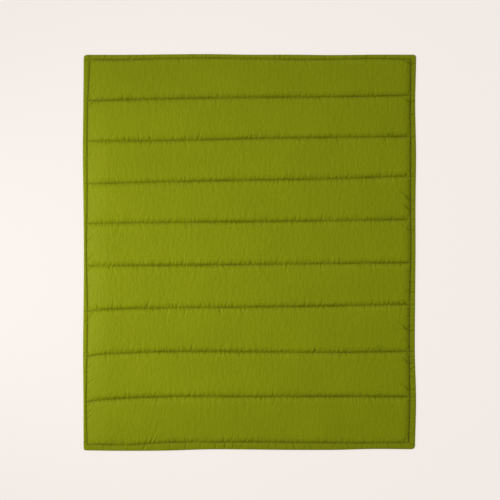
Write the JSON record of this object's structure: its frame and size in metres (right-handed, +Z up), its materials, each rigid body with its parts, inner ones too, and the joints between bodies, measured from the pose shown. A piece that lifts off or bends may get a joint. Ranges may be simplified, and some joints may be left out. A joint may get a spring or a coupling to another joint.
{
  "type": "camp quilt",
  "caption": "Rectangular channel-quilted camp quilt: two cloths over loose batting, stitched across into padded channels with a topstitched turned hem.",
  "frame": {"origin": "on the ground under the centre of the quilt lying flat, front up", "axes": "+X across the quilt to its right seen from above with the head away; +Y from the foot to the head; +Z up out of the front cloth"},
  "size_m": [1.27, 1.511, 0.019],
  "materials": {
    "front_cloth": "olive green plain-weave nylon or polyester shell, semi-matt",
    "back_cloth": "olive green plain-weave lining, semi-matt, a guess because the back isn't shown",
    "fill": "white polyester batting",
    "thread": "olive brown polyester sewing thread"
  },
  "bodies": {
    "channel_1": {"front_shell_1": "front_cloth", "back_shell_1": "back_cloth", "batting_1": "fill", "left_topstitch_1": "thread", "right_topstitch_1": "thread", "head_topstitch": "thread"},
    "channel_2": {"front_shell_2": "front_cloth", "back_shell_2": "back_cloth", "batting_2": "fill", "left_topstitch_2": "thread", "right_topstitch_2": "thread", "quilting_thread_1": "thread"},
    "channel_3": {"front_shell_3": "front_cloth", "back_shell_3": "back_cloth", "batting_3": "fill", "left_topstitch_3": "thread", "right_topstitch_3": "thread", "quilting_thread_2": "thread"},
    "channel_4": {"front_shell_4": "front_cloth", "back_shell_4": "back_cloth", "batting_4": "fill", "left_topstitch_4": "thread", "right_topstitch_4": "thread", "quilting_thread_3": "thread"},
    "channel_5": {"front_shell_5": "front_cloth", "back_shell_5": "back_cloth", "batting_5": "fill", "left_topstitch_5": "thread", "right_topstitch_5": "thread", "quilting_thread_4": "thread", "quilting_thread_5": "thread"},
    "channel_6": {"front_shell_6": "front_cloth", "back_shell_6": "back_cloth", "batting_6": "fill", "left_topstitch_6": "thread", "right_topstitch_6": "thread", "quilting_thread_6": "thread"},
    "channel_7": {"front_shell_7": "front_cloth", "back_shell_7": "back_cloth", "batting_7": "fill", "left_topstitch_7": "thread", "right_topstitch_7": "thread", "quilting_thread_7": "thread"},
    "channel_8": {"front_shell_8": "front_cloth", "back_shell_8": "back_cloth", "batting_8": "fill", "left_topstitch_8": "thread", "right_topstitch_8": "thread", "quilting_thread_8": "thread"},
    "channel_9": {"front_shell_9": "front_cloth", "back_shell_9": "back_cloth", "batting_9": "fill", "left_topstitch_9": "thread", "right_topstitch_9": "thread", "foot_topstitch": "thread"}
  },
  "joints": [
    {"name": "seam_5_fold", "type": "hinge", "parent": "channel_5", "child": "channel_6", "pos_m": [0, -0.0465, 0.006], "axis": [-0.9999, -0.0122, 0], "range_deg": [0, 65]},
    {"name": "seam_6_fold", "type": "hinge", "parent": "channel_6", "child": "channel_7", "pos_m": [0, -0.2095, 0.006], "axis": [-0.9999, -0.0122, 0], "range_deg": [-123.5, 0]},
    {"name": "seam_7_fold", "type": "hinge", "parent": "channel_7", "child": "channel_8", "pos_m": [0, -0.3815, 0.006], "axis": [-0.9999, -0.0122, 0], "range_deg": [0, 123.5]},
    {"name": "seam_8_fold", "type": "hinge", "parent": "channel_8", "child": "channel_9", "pos_m": [0, -0.5535, 0.006], "axis": [-0.9999, -0.0122, 0], "range_deg": [-113.75, 0]},
    {"name": "seam_4_fold", "type": "hinge", "parent": "channel_5", "child": "channel_4", "pos_m": [0, 0.1175, 0.006], "axis": [0.9999, 0.0122, 0], "range_deg": [0, 65]},
    {"name": "seam_3_fold", "type": "hinge", "parent": "channel_4", "child": "channel_3", "pos_m": [0, 0.2765, 0.006], "axis": [0.9999, 0.0122, 0], "range_deg": [-130, 0]},
    {"name": "seam_2_fold", "type": "hinge", "parent": "channel_3", "child": "channel_2", "pos_m": [0, 0.4355, 0.006], "axis": [0.9999, 0.0122, 0], "range_deg": [0, 130]},
    {"name": "seam_1_fold", "type": "hinge", "parent": "channel_2", "child": "channel_1", "pos_m": [0, 0.5925, 0.006], "axis": [0.9999, 0.0122, 0], "range_deg": [-122.2, 0]}
  ],
  "couplings": [
    {"joint": "seam_4_fold", "follows": "seam_5_fold", "ratio": 1},
    {"joint": "seam_3_fold", "follows": "seam_5_fold", "ratio": -2},
    {"joint": "seam_2_fold", "follows": "seam_5_fold", "ratio": 2},
    {"joint": "seam_1_fold", "follows": "seam_5_fold", "ratio": -1.88},
    {"joint": "seam_6_fold", "follows": "seam_5_fold", "ratio": -1.9},
    {"joint": "seam_7_fold", "follows": "seam_5_fold", "ratio": 1.9},
    {"joint": "seam_8_fold", "follows": "seam_5_fold", "ratio": -1.75}
  ]
}
